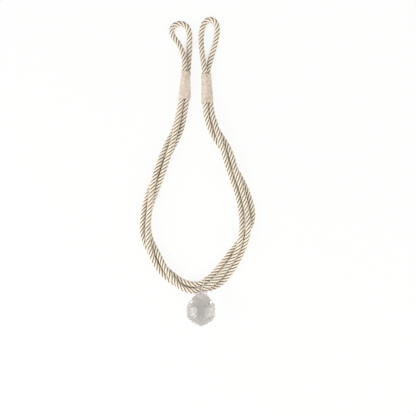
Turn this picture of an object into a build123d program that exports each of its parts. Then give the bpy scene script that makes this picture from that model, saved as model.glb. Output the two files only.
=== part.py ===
# Curtain tieback: a laid satin rope doubled back and forth into three loosely twisted legs, a hook loop and
# a thread whipping at each end, and a cut crystal ball hitched on at the lowest point of the U.
# Millimetres. The tieback lies flat on the XY plane, loops to +Y, ball to -Y, and +Z is up.
import math
import os
from build123d import *

os.makedirs("parts", exist_ok=True)

# Rope
cord_diameter = 6.5
arc_share = 0.45

# Whippings: a sleeve of wound thread drawn tight round the ropes, narrower above the end of the third rope
whipping_wall = 0.45
whipping_clearance = 0.25
left_whipping_low_end = (-15.75, 84.2, 7.6)
left_whipping_high_end = (-12.7, 116.2, 7.6)
right_whipping_low_end = (11.7, 80.0, 7.6)
right_whipping_high_end = (10.2, 113.3, 7.6)
full_share = 0.22
fill_share = 0.08
taper_steps = 6

# Hanging thread
thread_diameter = 0.9
strand_spacing = 1.0
thread_in_bore = 4.4
strand_rise = 0.8

# Crystal ball, drilled along its axis at the neck
ball_radius = 16.3
ball_x = 4.2
neck_top_y = -143.8
neck_reach = 19.9
base_reach = 15.6
tip_reach = 17.5
tip_radius = 1.7
tip_base_radius = 3.2
bore_clearance = 0.2
bore_depth = 6.0
ball_sides = 12

# Rows of facets: latitude and turn of the row in degrees, and how far its flats lie from the middle
facet_rows = [
    (0.0, 0.0, ball_radius),
    (27.0, 15.0, 1.043 * ball_radius),
    (42.0, 0.0, 1.095 * ball_radius),
    (-25.0, 15.0, 1.05 * ball_radius),
    (-42.0, 0.0, 1.03 * ball_radius),
    (-58.0, 15.0, ball_radius),
]

# Route of the rope, one rope from end to end. Each leg runs from one whipping down to the tie and up to the
# other one, and the legs cross over and under each other on the way.
start_in_left_whipping = [(-12.1, 88.0, 7.35)]
leg_one = [
    (-14.0, 75.3, 7.35), (-18.2, 49.8, 4.2), (-29.5, 26.4, 3.3), (-43.1, 3.6, 3.3), (-56.2, -20.1, 3.3),
    (-63.9, -46.9, 6.1), (-65.8, -75.4, 3.6), (-54.3, -100.4, 3.3), (-34.1, -117.8, 3.3), (-16.2, -131.6, 7.7),
    (2.9, -133.9, 10.6),
    (15.3, -124.4, 6.6), (28.3, -109.8, 3.5), (41.7, -92.1, 3.3), (60.3, -69.5, 3.3), (66.6, -51.5, 3.3),
    (58.8, -24.1, 3.3), (47.8, -2.5, 3.3), (32.0, 21.5, 3.3), (15.6, 45.5, 6.6), (9.0, 69.0, 11.0),
]
right_loop = [
    (8.5, 116.0, 10.5), (7.7, 122.0, 9.9), (4.3, 146.0, 6.5), (4.2, 160.0, 3.3), (6.2, 171.2, 3.3), (10.6, 177.8, 3.3),
    (17.6, 178.6, 3.3), (22.4, 174.0, 3.3), (23.6, 163.5, 3.3), (20.5, 147.9, 3.6), (13.2, 123.3, 4.3), (11.9, 117.5, 4.6),
]
leg_two = [
    (15.4, 71.5, 7.9), (23.0, 48.1, 11.8), (30.6, 21.7, 11.5), (38.9, -4.5, 6.5), (47.2, -26.4, 3.3),
    (51.8, -49.3, 3.3), (52.2, -71.6, 10.4), (48.2, -92.7, 10.4), (34.6, -113.6, 4.6), (20.3, -129.9, 10.5),
    (2.9, -141.3, 11.1),
    (-19.4, -138.8, 10.7), (-35.1, -119.2, 11.4), (-46.8, -96.8, 7.6), (-58.2, -74.2, 3.3), (-57.9, -47.7, 3.3),
    (-48.1, -22.5, 5.3), (-39.1, 2.0, 9.8), (-31.0, 27.0, 10.9), (-24.2, 51.6, 10.7), (-19.9, 76.1, 10.75),
]
left_loop = [
    (-13.3, 126.0, 10.5), (-20.3, 147.3, 6.5), (-28.8, 158.0, 3.3), (-31.2, 166.0, 3.3), (-27.0, 172.4, 3.3),
    (-19.6, 174.0, 3.3), (-12.6, 171.2, 3.3), (-9.4, 163.6, 3.3), (-9.2, 149.6, 3.3), (-10.7, 124.5, 4.0), (-11.0, 118.5, 4.2),
]
leg_three = [
    (-20.8, 75.7, 4.05), (-25.6, 51.7, 3.3), (-37.4, 29.3, 5.7), (-46.8, 5.0, 10.2), (-53.6, -20.8, 10.8),
    (-56.4, -48.0, 10.5), (-58.9, -74.2, 11.0), (-54.6, -100.4, 11.2), (-40.2, -123.4, 6.2), (-19.3, -137.0, 3.3),
    (2.9, -139.6, 4.75),
    (24.6, -136.2, 3.3), (40.2, -118.2, 3.3), (52.8, -95.3, 4.8), (60.2, -71.0, 11.2), (58.8, -49.3, 6.8),
    (53.4, -25.2, 7.8), (45.3, -1.8, 10.6), (38.6, 23.7, 9.0), (24.6, 46.4, 3.3), (13.2, 64.5, 3.3), (8.7, 76.0, 4.05),
]
end_in_right_whipping = [(8.45, 85.0, 4.05)]
cord_route = (start_in_left_whipping + leg_one + right_loop + leg_two + left_loop + leg_three
              + end_in_right_whipping)

# The thread is hitched round the three legs: two strands leave the bore in the neck, spread over the top of
# the rope, go round behind and beneath it, and close in a bar over both strands.
ball_axis_z = ball_radius
ball_centre = Vector(ball_x, neck_top_y - neck_reach, ball_axis_z)
left_strand_x = ball_x - strand_spacing / 2
right_strand_x = ball_x + strand_spacing / 2
strand_end_y = neck_top_y - thread_in_bore
strand_out_y = neck_top_y + strand_rise
left_strand = [(left_strand_x, strand_end_y, ball_axis_z), (left_strand_x, strand_out_y, ball_axis_z)]
right_strand = [(right_strand_x, strand_out_y, ball_axis_z), (right_strand_x, strand_end_y, ball_axis_z)]
hitch = [
    (3.1, -140.5, 15.0), (-1.4, -133.2, 13.9), (-2.9, -128.6, 13.0), (-3.0, -128.6, 6.9), (-2.9, -134.0, 0.6),
    (-2.6, -142.6, 0.5), (-2.4, -144.5, 6.6), (-2.7, -144.2, 12.6), (3.7, -140.6, 17.9), (8.9, -141.8, 13.6),
    (10.0, -143.0, 6.6), (9.9, -142.2, 0.5), (9.5, -132.4, 0.5), (8.8, -124.3, 5.5), (8.4, -124.2, 12.1),
    (7.4, -131.4, 13.4), (4.4, -140.0, 15.0),
]
thread_route = left_strand + hitch + right_strand


def bend_radii(route):
    # Each bend is as wide as its two runs allow.
    radii = []
    for before, here, after in zip(route, route[1:], route[2:]):
        run_in = Vector(*here) - Vector(*before)
        run_out = Vector(*after) - Vector(*here)
        turn = math.radians(run_in.get_angle(run_out))
        radii.append(arc_share * min(run_in.length, run_out.length) / math.tan(turn / 2))
    return radii


cord_radii = bend_radii(cord_route)
thread_radii = bend_radii(thread_route)

with BuildPart() as twisted_cord:
    with BuildLine() as cord_line:
        FilletPolyline(*cord_route, radius=cord_radii)
    with BuildSketch(Plane(origin=cord_line.line @ 0, z_dir=cord_line.line % 0)):
        Circle(cord_diameter / 2)
    sweep()
twisted_cord.part.label = "twisted_cord"

with BuildPart() as hanging_thread:
    with BuildLine() as thread_line:
        FilletPolyline(*thread_route, radius=thread_radii)
    with BuildSketch(Plane(origin=thread_line.line @ 0, z_dir=thread_line.line % 0)):
        Circle(thread_diameter / 2)
    sweep()
hanging_thread.part.label = "hanging_thread"

# Inside a whipping two ropes run straight through, and the third one ends a little way in. Above that end the
# sleeve is drawn in step by step, until it holds the two ropes alone.
sleeve_bore = cord_diameter / 2 + whipping_clearance
sleeve_outside = sleeve_bore + whipping_wall


def crossing(run, plane):
    # Where a straight run of rope goes through a plane, in the plane's own measures.
    near = plane.to_local_coords(Vector(*run[0]))
    far = plane.to_local_coords(Vector(*run[1]))
    share = near.Z / (near.Z - far.Z)
    return Vector(near.X + (far.X - near.X) * share, near.Y + (far.Y - near.Y) * share)


def sleeve_sections(low_end, high_end, through_one, through_two, ending):
    # Planes across the sleeve, each with the middles of the circles that the thread is drawn round.
    low = Vector(*low_end)
    axis = Vector(*high_end) - low
    drawn_shares = [step / taper_steps for step in range(taper_steps + 1)]
    shares = [0.0] + [full_share + (1 - full_share) * drawn for drawn in drawn_shares]
    sections = []
    for share, drawn in zip(shares, [0.0] + drawn_shares):
        plane = Plane(origin=low + axis * share, x_dir=(1, 0, 0), z_dir=axis)
        one = crossing(through_one, plane)
        two = crossing(through_two, plane)
        middle = (one + two) * 0.5
        lean = crossing(ending, plane) - middle
        third = middle + lean * (1 - drawn * (1 - fill_share))
        sections.append((plane, [(spot.X, spot.Y) for spot in (one, two, third)]))
    return sections


left_sections = sleeve_sections(left_whipping_low_end, left_whipping_high_end,
                                (leg_two[-1], left_loop[0]), (leg_three[0], left_loop[-1]),
                                (leg_one[0], start_in_left_whipping[0]))
right_sections = sleeve_sections(right_whipping_low_end, right_whipping_high_end,
                                 (leg_one[-1], right_loop[0]), (leg_two[0], right_loop[-1]),
                                 (leg_three[-1], end_in_right_whipping[0]))

with BuildPart() as left_whipping:
    for plane, spots in left_sections:
        with BuildSketch(plane):
            with Locations(*spots):
                Circle(sleeve_outside)
            make_hull()
    loft(ruled=True)
    for plane, spots in left_sections:
        with BuildSketch(plane):
            with Locations(*spots):
                Circle(sleeve_bore)
            make_hull()
    loft(ruled=True, mode=Mode.SUBTRACT)
left_whipping.part.label = "left_whipping"

with BuildPart() as right_whipping:
    for plane, spots in right_sections:
        with BuildSketch(plane):
            with Locations(*spots):
                Circle(sleeve_outside)
            make_hull()
    loft(ruled=True)
    for plane, spots in right_sections:
        with BuildSketch(plane):
            with Locations(*spots):
                Circle(sleeve_bore)
            make_hull()
    loft(ruled=True, mode=Mode.SUBTRACT)
right_whipping.part.label = "right_whipping"

# The ball is ground flat by flat from a block and lies on the flat that faces down. The upper rows run on past
# the ball into a tapered neck.
block = 2.4 * ball_radius
block_middle = ball_centre + Vector(0, (neck_reach - base_reach) / 2, 0)
neck_top = Plane(origin=ball_centre + Vector(0, neck_reach, 0), x_dir=(1, 0, 0), z_dir=(0, 1, 0))
tip_root = Plane(origin=ball_centre - Vector(0, base_reach, 0), x_dir=(1, 0, 0), z_dir=(0, -1, 0))
tip_end = Plane(origin=ball_centre - Vector(0, tip_reach, 0), x_dir=(1, 0, 0), z_dir=(0, -1, 0))

with BuildPart() as crystal_ball:
    with Locations(block_middle):
        Box(block, neck_reach + base_reach, block)
    for latitude, turn, reach in facet_rows:
        lift = math.radians(latitude)
        for step in range(ball_sides):
            round_axis = math.radians(turn + 360.0 * step / ball_sides)
            normal = Vector(math.cos(lift) * math.cos(round_axis), math.sin(lift),
                            math.cos(lift) * math.sin(round_axis))
            split(bisect_by=Plane(origin=ball_centre + normal * reach, z_dir=normal), keep=Keep.BOTTOM)
    with BuildSketch(tip_root):
        RegularPolygon(tip_base_radius, ball_sides)
    with BuildSketch(tip_end):
        RegularPolygon(tip_radius, ball_sides)
    loft()
    with Locations(neck_top):
        Hole(radius=(strand_spacing + thread_diameter) / 2 + bore_clearance, depth=bore_depth)
crystal_ball.part.label = "crystal_ball"

for piece in (twisted_cord, hanging_thread, left_whipping, right_whipping, crystal_ball):
    export_step(piece.part, f"parts/{piece.part.label}.step")

cord_length = cord_line.wire().length
thread_length = thread_line.wire().length
print("rope length", round(cord_length, 1), "bend radii", [round(r, 1) for r in cord_radii])
print("rope volume over section times length",
      round(twisted_cord.part.volume / (math.pi * cord_diameter ** 2 / 4 * cord_length), 4))
print("thread length", round(thread_length, 1), "bend radii", [round(r, 1) for r in thread_radii])
print("thread volume over section times length",
      round(hanging_thread.part.volume / (math.pi * thread_diameter ** 2 / 4 * thread_length), 4))
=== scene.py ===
import math

import bpy
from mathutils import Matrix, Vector


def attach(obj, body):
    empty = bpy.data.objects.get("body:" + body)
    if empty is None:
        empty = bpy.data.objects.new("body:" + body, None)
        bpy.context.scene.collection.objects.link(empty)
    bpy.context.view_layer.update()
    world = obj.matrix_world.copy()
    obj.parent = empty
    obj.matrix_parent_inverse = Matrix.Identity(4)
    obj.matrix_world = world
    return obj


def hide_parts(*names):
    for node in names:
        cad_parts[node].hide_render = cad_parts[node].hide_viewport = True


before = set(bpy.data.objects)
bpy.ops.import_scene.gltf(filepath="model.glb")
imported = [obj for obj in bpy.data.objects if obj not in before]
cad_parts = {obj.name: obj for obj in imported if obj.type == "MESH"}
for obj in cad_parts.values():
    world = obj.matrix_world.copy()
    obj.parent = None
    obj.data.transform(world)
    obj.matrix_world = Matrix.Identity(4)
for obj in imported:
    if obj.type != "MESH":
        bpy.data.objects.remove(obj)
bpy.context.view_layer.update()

# Sizes are in millimetres and angles in degrees, unless a comment says otherwise.
MM = 0.001

# Rope: strands laid round its line
ROPE_DIAMETER = 6.5
STRANDS = 4
STRAND_RADIUS = 1.45
STRAND_CENTRE = 1.93
STRAND_SIDES = 12
STRAND_LAY = 20.0
ROPE_STEP = 1.3

# Hanging thread: plies laid round its line
PLIES = 2
PLY_RADIUS = 0.25
PLY_CENTRE = 0.21
PLY_SIDES = 8
PLY_LAY = 2.6
THREAD_STEP = 0.28

# Smooth line of a cord
LINE_ORDER = 3
LINE_RESOLUTION = 24

# Whippings: the middle of each, at both ends, and the thread wound round the ropes
LEFT_LOW_END = (-15.75, 84.2, 7.6)
LEFT_HIGH_END = (-12.7, 116.2, 7.6)
RIGHT_LOW_END = (11.7, 80.0, 7.6)
RIGHT_HIGH_END = (10.2, 113.3, 7.6)
WHIPPING_CLEARANCE = 0.1
TURN_RADIUS = 0.34
TURN_PITCH = 0.56
TURN_ARC_STEPS = 8
# The rope's end fills the first share of a whipping's length. From there the turns draw in, and at the
# high end the second share of the end's reach is left.
FULL_SHARE = 0.22
FILL_SHARE = 0.08
# Unevenness of the turns, as shares of their reach from the middle, with its steps in radians
TURN_SWAY = 0.008
TURN_SWAY_STEP = 2.399
RIPPLE = 0.006
RIPPLE_TURN_STEP = 0.7
RIPPLE_ARC_STEP = 0.4

# Ball, on an axis along Y with its neck towards the rope
BALL_RADIUS = 16.3
BALL_X = 4.2
NECK_TOP_Y = -143.8
NECK_REACH = 19.9
BASE_REACH = 15.6
TIP_REACH = 17.5
TIP_RADIUS = 1.7
TIP_BASE_RADIUS = 3.2
TIP_SINK = 1.0
BALL_SIDES = 12
BORE_RADIUS = 1.15
BORE_DEPTH = 6.0
BORE_SIDES = 24
BORE_MARGIN = 1.05
COLLAR_DEPTH = 2.2
BLOCK_MARGIN = 1.2
EASED_EDGE = 0.12
EASED_ANGLE = 8.0
SAME_POINT = 1e-7  # metres
# Latitude of each row of flats, the turn of its first flat, and its reach as a share of the radius
FACET_ROWS = [
    (0.0, 0.0, 1.0),
    (27.0, 15.0, 1.043),
    (42.0, 0.0, 1.095),
    (-25.0, 15.0, 1.05),
    (-42.0, 0.0, 1.03),
    (-58.0, 15.0, 1.0),
]

# Studio, in metres and watts
FLOOR_SIZE = 6.0
FLOOR_DROP = 0.0002
SHELTER_REACH = 0.012
TABLE_MIDDLE = (0, 0, 0)
BALL_AIM = (0, -0.164, 0.016)
# Name, place, aim, size and power of each light
SOFT_LIGHTS = [
    ("key", (-0.72, -0.62, 0.90), TABLE_MIDDLE, 0.6, 7.0),
    ("fill", (0.82, -0.85, 0.90), TABLE_MIDDLE, 0.9, 5.0),
    ("side", (-1.035, -0.164, 0.616), BALL_AIM, 0.5, 3.6),
    ("far_side", (1.035, -0.164, 0.616), BALL_AIM, 0.5, 2.0),
]

# Camera, straight above: the picture's scale and the pixel over the origin
PICTURE_PIXELS = 416
PIXEL = 1.1735 * MM  # metres
ORIGIN_PIXEL_X = 197.5
ORIGIN_PIXEL_Y = 171.0
CAMERA_HEIGHT = 1.5  # metres
ROPE_MIDDLE_HEIGHT = 0.007  # metres
SENSOR_WIDTH = 36.0

# Route of the rope: three legs, each from whipping to whipping round the tie, and two loops
start_in_left_whipping = [(-12.1, 88.0, 7.35)]
leg_one = [
    (-14.0, 75.3, 7.35), (-18.2, 49.8, 4.2), (-29.5, 26.4, 3.3), (-43.1, 3.6, 3.3), (-56.2, -20.1, 3.3),
    (-63.9, -46.9, 6.1), (-65.8, -75.4, 3.6), (-54.3, -100.4, 3.3), (-34.1, -117.8, 3.3),
    (-16.2, -131.6, 7.7), (2.9, -133.9, 10.6), (15.3, -124.4, 6.6), (28.3, -109.8, 3.5), (41.7, -92.1, 3.3),
    (60.3, -69.5, 3.3), (66.6, -51.5, 3.3), (58.8, -24.1, 3.3), (47.8, -2.5, 3.3), (32.0, 21.5, 3.3),
    (15.6, 45.5, 6.6), (9.0, 69.0, 11.0),
]
right_loop = [
    (8.5, 116.0, 10.5), (7.7, 122.0, 9.9), (4.3, 146.0, 6.5), (4.2, 160.0, 3.3), (6.2, 171.2, 3.3),
    (10.6, 177.8, 3.3), (17.6, 178.6, 3.3), (22.4, 174.0, 3.3), (23.6, 163.5, 3.3), (20.5, 147.9, 3.6),
    (13.2, 123.3, 4.3), (11.9, 117.5, 4.6),
]
leg_two = [
    (15.4, 71.5, 7.9), (23.0, 48.1, 11.8), (30.6, 21.7, 11.5), (38.9, -4.5, 6.5), (47.2, -26.4, 3.3),
    (51.8, -49.3, 3.3), (52.2, -71.6, 10.4), (48.2, -92.7, 10.4), (34.6, -113.6, 4.6), (20.3, -129.9, 10.5),
    (2.9, -141.3, 11.1), (-19.4, -138.8, 10.7), (-35.1, -119.2, 11.4), (-46.8, -96.8, 7.6),
    (-58.2, -74.2, 3.3), (-57.9, -47.7, 3.3), (-48.1, -22.5, 5.3), (-39.1, 2.0, 9.8), (-31.0, 27.0, 10.9),
    (-24.2, 51.6, 10.7), (-19.9, 76.1, 10.75),
]
left_loop = [
    (-13.3, 126.0, 10.5), (-20.3, 147.3, 6.5), (-28.8, 158.0, 3.3), (-31.2, 166.0, 3.3),
    (-27.0, 172.4, 3.3), (-19.6, 174.0, 3.3), (-12.6, 171.2, 3.3), (-9.4, 163.6, 3.3), (-9.2, 149.6, 3.3),
    (-10.7, 124.5, 4.0), (-11.0, 118.5, 4.2),
]
leg_three = [
    (-20.8, 75.7, 4.05), (-25.6, 51.7, 3.3), (-37.4, 29.3, 5.7), (-46.8, 5.0, 10.2), (-53.6, -20.8, 10.8),
    (-56.4, -48.0, 10.5), (-58.9, -74.2, 11.0), (-54.6, -100.4, 11.2), (-40.2, -123.4, 6.2),
    (-19.3, -137.0, 3.3), (2.9, -139.6, 4.75), (24.6, -136.2, 3.3), (40.2, -118.2, 3.3), (52.8, -95.3, 4.8),
    (60.2, -71.0, 11.2), (58.8, -49.3, 6.8), (53.4, -25.2, 7.8), (45.3, -1.8, 10.6), (38.6, 23.7, 9.0),
    (24.6, 46.4, 3.3), (13.2, 64.5, 3.3), (8.7, 76.0, 4.05),
]
end_in_right_whipping = [(8.45, 85.0, 4.05)]
rope_route = (start_in_left_whipping + leg_one + right_loop + leg_two + left_loop + leg_three
              + end_in_right_whipping)

# Route of the hanging thread: out of the ball's neck, hitched round the three legs, and back into it
thread_route = [
    (3.7, -148.2, 16.3), (3.7, -143.0, 16.3),
    (3.1, -140.5, 15.0), (-1.4, -133.2, 13.9), (-2.9, -128.6, 13.0), (-3.0, -128.6, 6.9), (-2.9, -134.0, 0.6),
    (-2.6, -142.6, 0.5), (-2.4, -144.5, 6.6), (-2.7, -144.2, 12.6), (3.7, -140.6, 17.9), (8.9, -141.8, 13.6),
    (10.0, -143.0, 6.6), (9.9, -142.2, 0.5), (9.5, -132.4, 0.5), (8.8, -124.3, 5.5), (8.4, -124.2, 12.1),
    (7.4, -131.4, 13.4), (4.4, -140.0, 15.0),
    (4.7, -143.0, 16.3), (4.7, -148.2, 16.3),
]


# Objects

def clear_selection():
    if bpy.context.object and bpy.context.object.mode != "OBJECT":
        bpy.ops.object.mode_set(mode="OBJECT")
    bpy.ops.object.select_all(action="DESELECT")


def make_active(piece):
    clear_selection()
    piece.select_set(True)
    bpy.context.view_layer.objects.active = piece


def add_object(name, data):
    piece = bpy.data.objects.new(name, data)
    bpy.context.scene.collection.objects.link(piece)
    return piece


# Nodes

def new_material(name):
    material = bpy.data.materials.new(name)
    material.use_nodes = True
    return material, material.node_tree, material.node_tree.nodes["Principled BSDF"]


def set_inputs(node, values):
    for socket, value in values.items():
        node.inputs[socket].default_value = value


def math_node(tree, operation, *values):
    node = tree.nodes.new("ShaderNodeMath")
    node.operation = operation
    for socket, value in zip(node.inputs, values):
        if isinstance(value, (int, float)):
            socket.default_value = value
        else:
            tree.links.new(value, socket)
    return node.outputs[0]


def noise(tree, scale, detail=2.0):
    coords = tree.nodes.new("ShaderNodeTexCoord")
    texture = tree.nodes.new("ShaderNodeTexNoise")
    set_inputs(texture, {"Scale": scale, "Detail": detail})
    tree.links.new(coords.outputs["Object"], texture.inputs["Vector"])
    return texture.outputs["Fac"]


def colour_ramp(tree, factor, stops):
    ramp = tree.nodes.new("ShaderNodeValToRGB")
    while len(ramp.color_ramp.elements) < len(stops):
        ramp.color_ramp.elements.new(0.5)
    for element, (place, colour) in zip(ramp.color_ramp.elements, stops):
        element.position = place
        element.color = (*colour, 1.0)
    tree.links.new(factor, ramp.inputs["Fac"])
    return ramp.outputs["Color"]


def map_range(tree, value, from_min, from_max, to_min, to_max):
    node = tree.nodes.new("ShaderNodeMapRange")
    set_inputs(node, {"From Min": from_min, "From Max": from_max, "To Min": to_min, "To Max": to_max})
    tree.links.new(value, node.inputs["Value"])
    return node.outputs["Result"]


def raise_surface(tree, shader, height, strength, depth):
    bump = tree.nodes.new("ShaderNodeBump")
    set_inputs(bump, {"Strength": strength, "Distance": depth * MM})
    tree.links.new(height, bump.inputs["Height"])
    tree.links.new(bump.outputs["Normal"], shader.inputs["Normal"])


# Materials

def satin_yarn(name, crest, flank_shade, groove_shade, yarns, yarn_slant, yarn_depth, roughness):
    # The strand's UV map runs round it in U, from its outer side, and along it in V, in millimetres.
    cloud_share, yarn_shade_share, fibre_share = 0.16, 0.10, 0.5
    mean_cloud, mean_yarn = 0.5, 0.6
    material, tree, shader = new_material(name)
    strand_map = tree.nodes.new("ShaderNodeUVMap")
    strand_map.uv_map = "strand"
    split = tree.nodes.new("ShaderNodeSeparateXYZ")
    tree.links.new(strand_map.outputs["UV"], split.inputs["Vector"])
    around, along = split.outputs["X"], split.outputs["Y"]
    # Depth into the grooves: 0 on the outer side of the strand, 1 on the side towards the rope's middle. It
    # drives painted shade, which darkens the colour from the crest down into the grooves between strands.
    swing = math_node(tree, "COSINE", math_node(tree, "MULTIPLY", around, 2 * math.pi))
    depth = math_node(tree, "MULTIPLY_ADD", swing, -0.5, 0.5)
    # Fine yarns lie along the strand with a slight twist of their own.
    lean = math_node(tree, "MULTIPLY", along, yarn_slant)
    phase = math_node(tree, "ADD", math_node(tree, "MULTIPLY", around, yarns), lean)
    wave = math_node(tree, "SINE", math_node(tree, "MULTIPLY", phase, math.pi))
    yarn = math_node(tree, "ABSOLUTE", wave)
    # The colour changes slowly along the rope, and painted shade darkens each yarn a little from its crest to
    # its edge.
    cloud = math_node(tree, "SUBTRACT", noise(tree, scale=55.0, detail=3.0), mean_cloud)
    yarn_edge_shade = math_node(tree, "SUBTRACT", mean_yarn, yarn)
    tone_and_shade = math_node(tree, "ADD", depth, math_node(tree, "MULTIPLY", cloud, cloud_share))
    tone_and_shade = math_node(tree, "ADD", tone_and_shade, math_node(tree, "MULTIPLY", yarn_edge_shade, yarn_shade_share))
    # Painted shade: the colour runs from the crest through the darker shade of the flanks to the near-black
    # shade down in the grooves.
    colour = colour_ramp(tree, tone_and_shade, [(0.05, crest), (0.18, flank_shade), (0.35, groove_shade)])
    tree.links.new(colour, shader.inputs["Base Color"])
    set_inputs(shader, {"Roughness": roughness, "Specular IOR Level": 0.55,
                        "Sheen Weight": 0.12, "Sheen Roughness": 0.4})
    fibre = math_node(tree, "MULTIPLY", noise(tree, scale=2600.0), fibre_share)
    raise_surface(tree, shader, math_node(tree, "ADD", yarn, fibre), strength=0.6, depth=yarn_depth)
    return material


def wound_thread():
    cloud_share, speckle_share = 0.55, 0.45
    material, tree, shader = new_material("whipping_thread")
    cloud = math_node(tree, "MULTIPLY", noise(tree, scale=160.0, detail=4.0), cloud_share)
    speckle = math_node(tree, "MULTIPLY", noise(tree, scale=900.0), speckle_share)
    colour = colour_ramp(tree, math_node(tree, "ADD", cloud, speckle), [
        (0.34, (0.54, 0.45, 0.37)), (0.50, (0.745, 0.645, 0.54)), (0.64, (0.82, 0.73, 0.63))])
    tree.links.new(colour, shader.inputs["Base Color"])
    set_inputs(shader, {"Roughness": 0.62, "Sheen Weight": 0.15})
    raise_surface(tree, shader, noise(tree, scale=3200.0), strength=0.4, depth=0.08)
    return material


def cut_crystal():
    # The glass bends light little, so the ball stays a quiet grey, and its coat gives the glints.
    material, tree, shader = new_material("cut_crystal")
    haze = noise(tree, scale=120.0, detail=3.0)
    tint = colour_ramp(tree, haze, [(0.30, (0.80, 0.79, 0.775)), (0.70, (0.90, 0.895, 0.88))])
    tree.links.new(tint, shader.inputs["Base Color"])
    polish = map_range(tree, haze, from_min=0.0, from_max=1.0, to_min=0.0, to_max=0.03)
    tree.links.new(polish, shader.inputs["Roughness"])
    set_inputs(shader, {"IOR": 1.2, "Transmission Weight": 0.86, "Coat Weight": 0.6, "Coat Roughness": 0.03})
    return material


def ground_glass():
    # The drilled bore and the collar round its mouth are left matt and pale.
    material, tree, shader = new_material("ground_glass")
    grit = noise(tree, scale=2200.0)
    frost = colour_ramp(tree, grit, [(0.35, (0.76, 0.71, 0.71)), (0.65, (0.86, 0.81, 0.81))])
    tree.links.new(frost, shader.inputs["Base Color"])
    set_inputs(shader, {"Roughness": 0.5, "Transmission Weight": 0.40, "IOR": 1.45})
    raise_surface(tree, shader, grit, strength=0.5, depth=0.03)
    return material


def mirrored_or_seen_through(tree, rays):
    return math_node(tree, "MAXIMUM", rays.outputs["Is Glossy Ray"], rays.outputs["Is Transmission Ray"])


def pale_floor():
    # Little light reaches the floor deep between the ropes and under the ball, so there its white glow is
    # painted down to a warm grey shade, as far as the floor is sheltered.
    white_share = 0.92
    warm_shade_white, full_white = (0.95, 0.84, 0.74), (1.0, 1.0, 1.0)
    material, tree, shader = new_material("pale_floor")
    set_inputs(shader, {"Base Color": (0.82, 0.79, 0.76, 1.0), "Roughness": 0.9, "Specular IOR Level": 0.1})
    rays = tree.nodes.new("ShaderNodeLightPath")
    camera_ray = rays.outputs["Is Camera Ray"]
    shelter = tree.nodes.new("ShaderNodeAmbientOcclusion")
    shelter.samples = 8
    shelter.inputs["Distance"].default_value = SHELTER_REACH
    openness = shelter.outputs["AO"]
    # Painted shade in the narrow gaps between the ropes, as the camera sees the floor.
    shade_between_ropes = map_range(tree, openness, from_min=0.22, from_max=0.45, to_min=0.22, to_max=1.0)
    # Painted shadow of the ball on the floor that is seen through the glass.
    shadow_under_glass = map_range(tree, openness, from_min=0.02, from_max=0.80, to_min=0.30, to_max=1.0)
    white = tree.nodes.new("ShaderNodeEmission")
    # Painted warm shade where the floor is sheltered.
    white_tone = colour_ramp(tree, openness, [(0.25, warm_shade_white), (0.50, full_white)])
    tree.links.new(white_tone, white.inputs["Color"])
    tree.links.new(math_node(tree, "MAXIMUM", camera_ray, shadow_under_glass), white.inputs["Strength"])
    seen = math_node(tree, "MULTIPLY", camera_ray, shade_between_ropes)
    shown = math_node(tree, "MAXIMUM", seen, mirrored_or_seen_through(tree, rays))
    mix = tree.nodes.new("ShaderNodeMixShader")
    tree.links.new(math_node(tree, "MULTIPLY", shown, white_share), mix.inputs["Fac"])
    tree.links.new(shader.outputs["BSDF"], mix.inputs[1])
    tree.links.new(white.outputs["Emission"], mix.inputs[2])
    tree.links.new(mix.outputs["Shader"], tree.nodes["Material Output"].inputs["Surface"])
    return material


# Cords

def line_of(name, route):
    # Points along the smooth line that the route's points control.
    curve = bpy.data.curves.new(name, "CURVE")
    curve.dimensions = "3D"
    curve.resolution_u = LINE_RESOLUTION
    spline = curve.splines.new("NURBS")
    spline.points.add(len(route) - 1)
    for point, place in zip(spline.points, route):
        point.co = (place[0] * MM, place[1] * MM, place[2] * MM, 1.0)
    spline.order_u = LINE_ORDER
    spline.use_endpoint_u = True
    carrier = add_object(name, curve)
    bpy.context.view_layer.update()
    mesh = bpy.data.meshes.new_from_object(carrier)
    points = [vertex.co.copy() for vertex in mesh.vertices]
    bpy.data.meshes.remove(mesh)
    bpy.data.objects.remove(carrier)
    bpy.data.curves.remove(curve)
    return points


def evenly(points, step):
    # Points about one step apart along the same line, and the line's length.
    reach = [0.0]
    for before, here in zip(points, points[1:]):
        reach.append(reach[-1] + (here - before).length)
    count = max(2, round(reach[-1] / step))
    spaced, at = [], 0
    for index in range(count + 1):
        wanted = reach[-1] * index / count
        while at < len(points) - 2 and reach[at + 1] < wanted:
            at += 1
        span = reach[at + 1] - reach[at]
        share = (wanted - reach[at]) / span if span > 0 else 0.0
        spaced.append(points[at].lerp(points[at + 1], share))
    return spaced, reach[-1]


def directions(points):
    steps = []
    for index in range(len(points)):
        before = points[max(index - 1, 0)]
        after = points[min(index + 1, len(points) - 1)]
        steps.append((after - before).normalized())
    return steps


def carried_sides(points):
    # Two directions across the line at each point, carried along it without twisting.
    tangents = directions(points)
    side = tangents[0].cross(Vector((0, 0, 1))).normalized()
    sides = []
    for tangent in tangents:
        side = (side - tangent * side.dot(tangent)).normalized()
        sides.append((side, tangent.cross(side)))
    return sides


def tube_rings(middles, outward, radius, sides):
    # Rings of points round a strand's own line, each starting on the outer side of the rope.
    points = []
    for middle, out, tangent in zip(middles, outward, directions(middles)):
        out = (out - tangent * out.dot(tangent)).normalized()
        across = tangent.cross(out)
        for corner in range(sides):
            angle = 2 * math.pi * corner / sides
            points.append(middle + (out * math.cos(angle) + across * math.sin(angle)) * radius)
    return points


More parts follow.
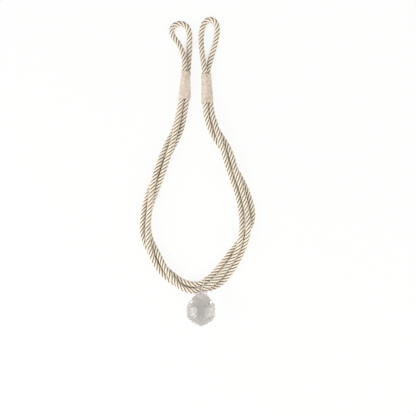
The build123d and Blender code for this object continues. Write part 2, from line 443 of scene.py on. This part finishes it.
def tube_faces(first, rings, sides, spacing):
    # Walls and end caps of a tube, with their places on the map: U round it, V along it in millimetres.
    faces, maps = [], []
    for index in range(rings - 1):
        base = first + index * sides
        low, high = index * spacing / MM, (index + 1) * spacing / MM
        for corner in range(sides):
            after = (corner + 1) % sides
            left, right = corner / sides, (corner + 1) / sides
            faces.append((base + corner, base + after, base + sides + after, base + sides + corner))
            maps.append(((left, low), (right, low), (right, high), (left, high)))
    last = first + (rings - 1) * sides
    faces.append(tuple(first + corner for corner in reversed(range(sides))))
    maps.append(((0.0, 0.0),) * sides)
    faces.append(tuple(last + corner for corner in range(sides)))
    maps.append(((0.0, (rings - 1) * spacing / MM),) * sides)
    return faces, maps


def laid_strands(name, points, length, count, centre, radius, lay, sides):
    # Strands laid right-handed round the line, each a closed tube.
    carried = carried_sides(points)
    spacing = length / (len(points) - 1)
    vertices, faces, maps = [], [], []
    for strand in range(count):
        outward = []
        for index, (side, up) in enumerate(carried):
            turn = 2 * math.pi * (index * spacing / lay + strand / count)
            outward.append(side * math.cos(turn) + up * math.sin(turn))
        middles = [point + out * centre for point, out in zip(points, outward)]
        strand_faces, strand_maps = tube_faces(len(vertices), len(points), sides, spacing)
        vertices += tube_rings(middles, outward, radius, sides)
        faces += strand_faces
        maps += strand_maps
    mesh = bpy.data.meshes.new(name)
    mesh.from_pydata(vertices, [], faces)
    layer = mesh.uv_layers.new(name="strand")
    places = [place for face_map in maps for place in face_map]
    for loop, place in zip(layer.data, places):
        loop.uv = place
    mesh.polygons.foreach_set("use_smooth", [True] * len(mesh.polygons))
    mesh.update()
    return add_object(name, mesh)


# Rope

rope_line, rope_length = evenly(line_of("rope_line", rope_route), ROPE_STEP * MM)
rope = laid_strands("satin_rope", rope_line, rope_length, STRANDS, STRAND_CENTRE * MM, STRAND_RADIUS * MM,
                    STRAND_LAY * MM, STRAND_SIDES)
# The darker two colours are painted shade, on the sides of the strands and down in the grooves between them.
rope.data.materials.append(satin_yarn(
    "satin_rope", crest=(0.86, 0.78, 0.65), flank_shade=(0.60, 0.51, 0.39), groove_shade=(0.105, 0.07, 0.04),
    yarns=9.0, yarn_slant=0.55, yarn_depth=0.10, roughness=0.42))
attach(rope, "root")
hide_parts("twisted_cord")

# Hanging thread

thread_line, thread_length = evenly(line_of("thread_line", thread_route), THREAD_STEP * MM)
thread = laid_strands("hitched_thread", thread_line, thread_length, PLIES, PLY_CENTRE * MM, PLY_RADIUS * MM,
                      PLY_LAY * MM, PLY_SIDES)
# The darker two colours are painted shade between the plies of the thread.
thread.data.materials.append(satin_yarn(
    "hanging_thread", crest=(0.96, 0.94, 0.91), flank_shade=(0.90, 0.87, 0.83), groove_shade=(0.60, 0.55, 0.50),
    yarns=4.0, yarn_slant=1.2, yarn_depth=0.03, roughness=0.5))
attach(thread, "root")
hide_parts("hanging_thread")


# Whippings: turns of thread wound tight round two ropes and the end of a third

def drawn_round(spots, radius, arc_steps):
    # Outline of a thread pulled tight round circles of one radius.
    middle = sum((Vector(spot) for spot in spots), Vector((0.0, 0.0))) / len(spots)
    ordered = sorted(spots, key=lambda spot: math.atan2(spot[1] - middle.y, spot[0] - middle.x))
    outline = []
    for index, spot in enumerate(ordered):
        before, after = Vector(ordered[index - 1]), Vector(ordered[(index + 1) % len(ordered)])
        here = Vector(spot)
        run_in, run_out = here - before, after - here
        start = math.atan2(-run_in.x, run_in.y)
        end = math.atan2(-run_out.x, run_out.y)
        while end < start:
            end += 2 * math.pi
        for step in range(arc_steps + 1):
            angle = start + (end - start) * step / arc_steps
            outline.append(here + Vector((math.cos(angle), math.sin(angle))) * radius)
    return outline


def crossing(run, origin, axis, across, up):
    # Where a straight run of rope goes through the plane across a whipping.
    near, far = Vector(run[0]) * MM - origin, Vector(run[1]) * MM - origin
    spot = near.lerp(far, near.dot(axis) / (near.dot(axis) - far.dot(axis)))
    return Vector((spot.dot(across), spot.dot(up)))


def wound_path(low_end, high_end, through_one, through_two, ending):
    # The thread's line: its turns from the low end to the high end of the whipping.
    low, high = Vector(low_end) * MM, Vector(high_end) * MM
    axis = (high - low).normalized()
    across = Vector((0, 0, 1)).cross(axis).normalized()
    up = axis.cross(across)
    wound = (ROPE_DIAMETER / 2 + WHIPPING_CLEARANCE + TURN_RADIUS) * MM
    turns = int((high - low).length / (TURN_PITCH * MM))
    places = []
    for turn in range(turns):
        share = (turn + 0.5) / turns
        origin = low.lerp(high, share)
        one = crossing(through_one, origin, axis, across, up)
        two = crossing(through_two, origin, axis, across, up)
        middle = (one + two) / 2
        lean = crossing(ending, origin, axis, across, up) - middle
        drawn = max(0.0, share - FULL_SHARE) / (1 - FULL_SHARE)
        third = middle + lean * (1 - drawn * (1 - FILL_SHARE))
        outline = drawn_round([tuple(one), tuple(two), tuple(third)], wound, TURN_ARC_STEPS)
        for index, spot in enumerate(outline):
            height = (index / len(outline) - 0.5) * TURN_PITCH * MM
            sway = TURN_SWAY * math.sin(turn * TURN_SWAY_STEP)
            ripple = RIPPLE * math.sin(turn * RIPPLE_TURN_STEP + index * RIPPLE_ARC_STEP)
            spot = middle + (spot - middle) * (1.0 + sway + ripple)
            places.append(origin + across * spot.x + up * spot.y + axis * height)
    return places


def whipping(name, node, finish, places):
    curve = bpy.data.curves.new(name, "CURVE")
    curve.dimensions = "3D"
    curve.bevel_depth = TURN_RADIUS * MM
    curve.bevel_resolution = 1
    curve.use_fill_caps = True
    spline = curve.splines.new("POLY")
    spline.points.add(len(places) - 1)
    for point, place in zip(spline.points, places):
        point.co = (*place, 1.0)
    make_active(add_object(name, curve))
    bpy.ops.object.convert(target="MESH")
    bpy.ops.object.shade_smooth()
    piece = bpy.context.object
    piece.data.materials.append(finish)
    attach(piece, "root")
    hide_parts(node)


thread_finish = wound_thread()
whipping("wound_left", "left_whipping", thread_finish, wound_path(
    LEFT_LOW_END, LEFT_HIGH_END, (leg_two[-1], left_loop[0]), (leg_three[0], left_loop[-1]),
    (leg_one[0], start_in_left_whipping[0])))
whipping("wound_right", "right_whipping", thread_finish, wound_path(
    RIGHT_LOW_END, RIGHT_HIGH_END, (leg_one[-1], right_loop[0]), (leg_two[0], right_loop[-1]),
    (leg_three[-1], end_in_right_whipping[0])))

# Crystal ball: a block cut flat by flat, with the tip joined on, the neck drilled and the edges eased

ball_middle = Vector((BALL_X, NECK_TOP_Y - NECK_REACH, BALL_RADIUS)) * MM
collar_reach = (NECK_REACH - COLLAR_DEPTH) * MM
# Lays a cone or cylinder along the ball's axis, with its top away from the neck.
along_axis = (math.pi / 2, 0, 0)


def on_axis(reach):
    # A point on the ball's axis, in metres from its middle towards the neck.
    return ball_middle + Vector((0, reach, 0))


def apply_place():
    bpy.ops.object.transform_apply(location=True, rotation=True, scale=True)


def join_solid(target, other, operation):
    make_active(target)
    modifier = target.modifiers.new(operation.lower(), "BOOLEAN")
    modifier.operation = operation
    modifier.solver = "EXACT"
    modifier.object = other
    bpy.ops.object.modifier_apply(modifier=modifier.name)
    bpy.data.objects.remove(other)


def cut_block(name):
    clear_selection()
    bpy.ops.mesh.primitive_cube_add(size=2.0, location=on_axis((NECK_REACH - BASE_REACH) / 2 * MM))
    block = bpy.context.object
    block.name = name
    half_width = BLOCK_MARGIN * BALL_RADIUS * MM
    block.scale = (half_width, (NECK_REACH + BASE_REACH) / 2 * MM, half_width)
    apply_place()
    bpy.ops.object.mode_set(mode="EDIT")
    for latitude, turn, reach in FACET_ROWS:
        lift = math.radians(latitude)
        for step in range(BALL_SIDES):
            round_axis = math.radians(turn + 360.0 * step / BALL_SIDES)
            normal = Vector((math.cos(lift) * math.cos(round_axis), math.sin(lift),
                             math.cos(lift) * math.sin(round_axis)))
            bpy.ops.mesh.select_all(action="SELECT")
            bpy.ops.mesh.bisect(plane_co=ball_middle + normal * reach * BALL_RADIUS * MM, plane_no=normal,
                                use_fill=True, clear_outer=True, clear_inner=False, threshold=SAME_POINT)
    bpy.ops.object.mode_set(mode="OBJECT")
    return block


def join_tip(target):
    # A low cone, whose foot runs on into the ball.
    tip_depth = (TIP_REACH - BASE_REACH + TIP_SINK) * MM
    foot_radius = TIP_BASE_RADIUS + (TIP_BASE_RADIUS - TIP_RADIUS) / (TIP_REACH - BASE_REACH) * TIP_SINK
    clear_selection()
    bpy.ops.mesh.primitive_cone_add(
        vertices=BALL_SIDES, radius1=foot_radius * MM, radius2=TIP_RADIUS * MM, depth=tip_depth,
        location=on_axis(tip_depth / 2 - TIP_REACH * MM), rotation=along_axis)
    apply_place()
    join_solid(target, bpy.context.object, "UNION")


def drill_neck(target):
    clear_selection()
    bpy.ops.mesh.primitive_cylinder_add(
        vertices=BORE_SIDES, radius=BORE_RADIUS * MM, depth=2 * BORE_DEPTH * MM,
        location=on_axis(NECK_REACH * MM), rotation=along_axis)
    apply_place()
    join_solid(target, bpy.context.object, "DIFFERENCE")


def mark_collar(target):
    # An edge round the neck, where the ground collar ends.
    make_active(target)
    bpy.ops.object.mode_set(mode="EDIT")
    bpy.ops.mesh.select_all(action="SELECT")
    bpy.ops.mesh.bisect(plane_co=on_axis(collar_reach), plane_no=(0, 1, 0), threshold=SAME_POINT)
    bpy.ops.object.mode_set(mode="OBJECT")


def ease_edges(target):
    make_active(target)
    eased = target.modifiers.new("eased_edges", "BEVEL")
    eased.width = EASED_EDGE * MM
    eased.segments = 2
    eased.limit_method = "ANGLE"
    eased.angle_limit = math.radians(EASED_ANGLE)
    bpy.ops.object.modifier_apply(modifier=eased.name)
    bpy.ops.object.shade_flat()


def is_ground(face):
    from_middle = face.center - ball_middle
    off_axis = math.hypot(from_middle.x, from_middle.z)
    in_bore = from_middle.y > 0 and off_axis < BORE_MARGIN * BORE_RADIUS * MM
    return in_bore or from_middle.y > collar_reach


ball = cut_block("cut_ball")
join_tip(ball)
drill_neck(ball)
mark_collar(ball)
ease_edges(ball)
ball.data.materials.append(cut_crystal())
ball.data.materials.append(ground_glass())
for ball_face in ball.data.polygons:
    ball_face.material_index = 1 if is_ground(ball_face) else 0
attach(ball, "root")
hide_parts("crystal_ball")

# Floor, light and camera

def studio_world():
    world = bpy.data.worlds.new("studio")
    world.use_nodes = True
    tree = world.node_tree
    soft = tree.nodes["Background"]
    set_inputs(soft, {"Color": (1.0, 0.985, 0.965, 1.0), "Strength": 0.62})
    plain = tree.nodes.new("ShaderNodeBackground")
    plain.inputs["Color"].default_value = (1.0, 1.0, 1.0, 1.0)
    rays = tree.nodes.new("ShaderNodeLightPath")
    shown = math_node(tree, "MAXIMUM", rays.outputs["Is Camera Ray"], mirrored_or_seen_through(tree, rays))
    sky = tree.nodes.new("ShaderNodeMixShader")
    tree.links.new(shown, sky.inputs["Fac"])
    tree.links.new(soft.outputs["Background"], sky.inputs[1])
    tree.links.new(plain.outputs["Background"], sky.inputs[2])
    tree.links.new(sky.outputs["Shader"], tree.nodes["World Output"].inputs["Surface"])
    return world


def soft_light(name, place, aim, size, power):
    clear_selection()
    bpy.ops.object.light_add(type="AREA", location=place)
    light = bpy.context.object
    light.name = name
    light.data.size = size
    light.data.energy = power
    light.rotation_euler = (Vector(aim) - Vector(place)).to_track_quat("-Z", "Y").to_euler()


def camera_above():
    picture_middle = PICTURE_PIXELS / 2
    picture_width = PICTURE_PIXELS * PIXEL
    clear_selection()
    bpy.ops.object.camera_add(location=((picture_middle - ORIGIN_PIXEL_X) * PIXEL,
                                        (ORIGIN_PIXEL_Y - picture_middle) * PIXEL, CAMERA_HEIGHT))
    camera = bpy.context.object
    camera.rotation_euler = (0, 0, 0)
    camera.data.sensor_width = SENSOR_WIDTH
    camera.data.lens = SENSOR_WIDTH * (CAMERA_HEIGHT - ROPE_MIDDLE_HEIGHT) / picture_width
    return camera


clear_selection()
bpy.ops.mesh.primitive_plane_add(size=FLOOR_SIZE, location=(0, 0, -FLOOR_DROP))
floor = bpy.context.object
floor.name = "floor"
floor.data.materials.append(pale_floor())
bpy.context.scene.world = studio_world()
for lamp in SOFT_LIGHTS:
    soft_light(*lamp)
bpy.context.scene.camera = camera_above()
bpy.context.scene.view_settings.view_transform = "Standard"

bpy.context.view_layer.update()
